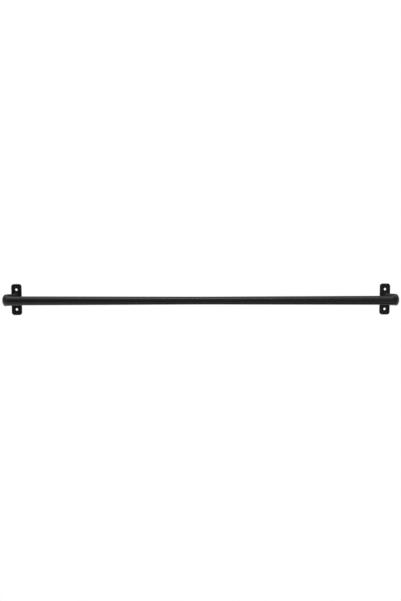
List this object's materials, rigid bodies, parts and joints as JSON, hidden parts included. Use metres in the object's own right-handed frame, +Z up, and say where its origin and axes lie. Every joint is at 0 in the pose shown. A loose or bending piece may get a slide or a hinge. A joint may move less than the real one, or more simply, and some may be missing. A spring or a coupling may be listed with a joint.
{
  "type": "kitchen utensil rail",
  "caption": "Round black tube rail with bent-back ends welded to upright screw plates, for hanging kitchen utensils from hooks on a wall.",
  "frame": {"origin": "on the wall plane at the backs of the two plates, at the centre of the four wall screws", "axes": "+X along the rail to the right as seen from the room, +Y into the wall, +Z up"},
  "size_m": [0.79, 0.039, 0.063],
  "materials": {
    "black_powder_coat": "satin black powder coat on welded steel"
  },
  "bodies": {
    "root": {"rail_tube": "black_powder_coat", "left_wall_plate": "black_powder_coat", "right_wall_plate": "black_powder_coat"}
  },
  "joints": []
}
